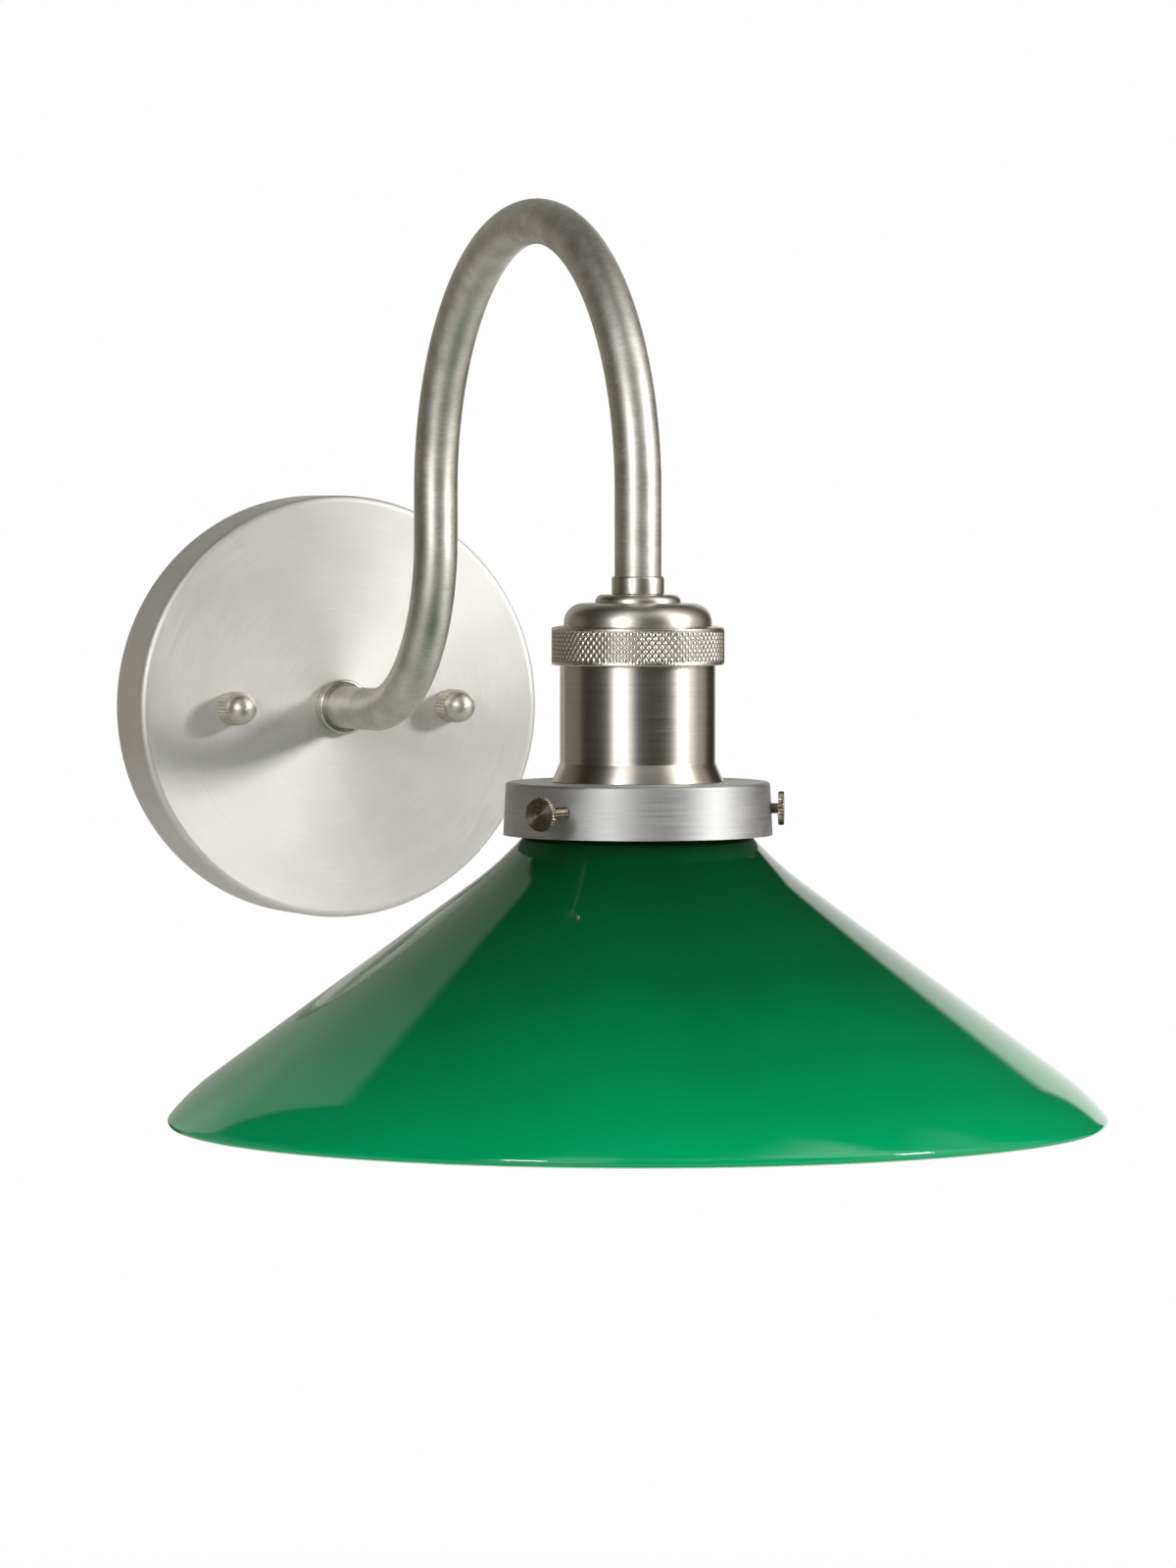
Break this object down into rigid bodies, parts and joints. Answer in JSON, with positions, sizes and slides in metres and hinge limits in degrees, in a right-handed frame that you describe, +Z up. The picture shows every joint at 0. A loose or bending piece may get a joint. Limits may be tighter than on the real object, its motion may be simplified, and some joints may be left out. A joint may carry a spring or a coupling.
{
  "type": "gooseneck wall sconce",
  "caption": "Wall sconce: round wall plate, bent gooseneck tube, turned socket with knurled ring, shade fitter with thumb screws and a cased glass cone shade.",
  "frame": {"origin": "centre of the wall plate's open back, in the wall's plane, level with the arm's root and midway between the box screws", "axes": "+Y into the wall, -Y out along the arm, +Z up, +X to the right as seen from the room"},
  "size_m": [0.2542, 0.3794, 0.2526],
  "materials": {
    "plate_nickel": "satin nickel plate, brushed in circles",
    "tube_nickel": "satin nickel plate, brushed along the tube",
    "socket_nickel": "satin nickel plate, spun and brushed round",
    "ring_nickel": "satin nickel plate over a diamond knurl",
    "fitter_aluminium": "turned, fine lathe lines",
    "screw_nickel": "nickel-plated brass, turned and knurled",
    "nut_nickel": "satin nickel plate, turned and knurled",
    "zinc_steel": "bright zinc plate",
    "earth_green": "green passivated",
    "green_glass": "gloss, green cased over opal white",
    "phenolic": "moulded, semi-gloss",
    "brass": "bright drawn",
    "lead_black": "extruded wire insulation",
    "lead_white": "extruded wire insulation"
  },
  "bodies": {
    "fixture": {"wall_plate": "plate_nickel", "mounting_bar": "zinc_steel", "earth_screw": "earth_green", "plate_studs": "zinc_steel", "stud_nuts": "zinc_steel", "root_collar": "socket_nickel", "arm_tube": "tube_nickel", "root_nipple": "zinc_steel", "root_lock_washer": "zinc_steel", "root_nut": "zinc_steel", "end_collar": "socket_nickel", "socket_nipple": "zinc_steel", "socket_cap": "socket_nickel", "cap_nut": "zinc_steel", "union_ring": "ring_nickel", "socket_shell": "socket_nickel", "holder_strap": "zinc_steel", "strap_screws": "zinc_steel", "lampholder": "phenolic", "screw_shell": "brass", "centre_contact": "brass", "line_terminal": "brass", "neutral_terminal": "zinc_steel", "lock_ring": "brass", "shade_fitter": "fitter_aluminium", "glass_shade": "green_glass", "line_lead": "lead_black", "neutral_lead": "lead_white"},
    "hand_nut_left": {"hand_nut_left": "nut_nickel"},
    "hand_nut_right": {"hand_nut_right": "nut_nickel"},
    "thumb_screw_left": {"thumb_screw_left": "screw_nickel"},
    "thumb_screw_right": {"thumb_screw_right": "screw_nickel"},
    "thumb_screw_rear": {"thumb_screw_rear": "screw_nickel"}
  },
  "joints": [
    {"name": "hand_nut_left_travel", "type": "slide", "parent": "fixture", "child": "hand_nut_left", "axis": [0, -1, 0], "range_m": [0, 0.011]},
    {"name": "hand_nut_right_travel", "type": "slide", "parent": "fixture", "child": "hand_nut_right", "axis": [0, -1, 0], "range_m": [0, 0.011]},
    {"name": "thumb_screw_left_travel", "type": "slide", "parent": "fixture", "child": "thumb_screw_left", "axis": [-0.8241, -0.5664, 0], "range_m": [-0.0088, 0.0012]},
    {"name": "thumb_screw_right_travel", "type": "slide", "parent": "fixture", "child": "thumb_screw_right", "axis": [0.9026, -0.4305, 0], "range_m": [0, 0.01]},
    {"name": "thumb_screw_rear_travel", "type": "slide", "parent": "fixture", "child": "thumb_screw_rear", "axis": [-0.0785, 0.9969, 0], "range_m": [0, 0.01]}
  ]
}
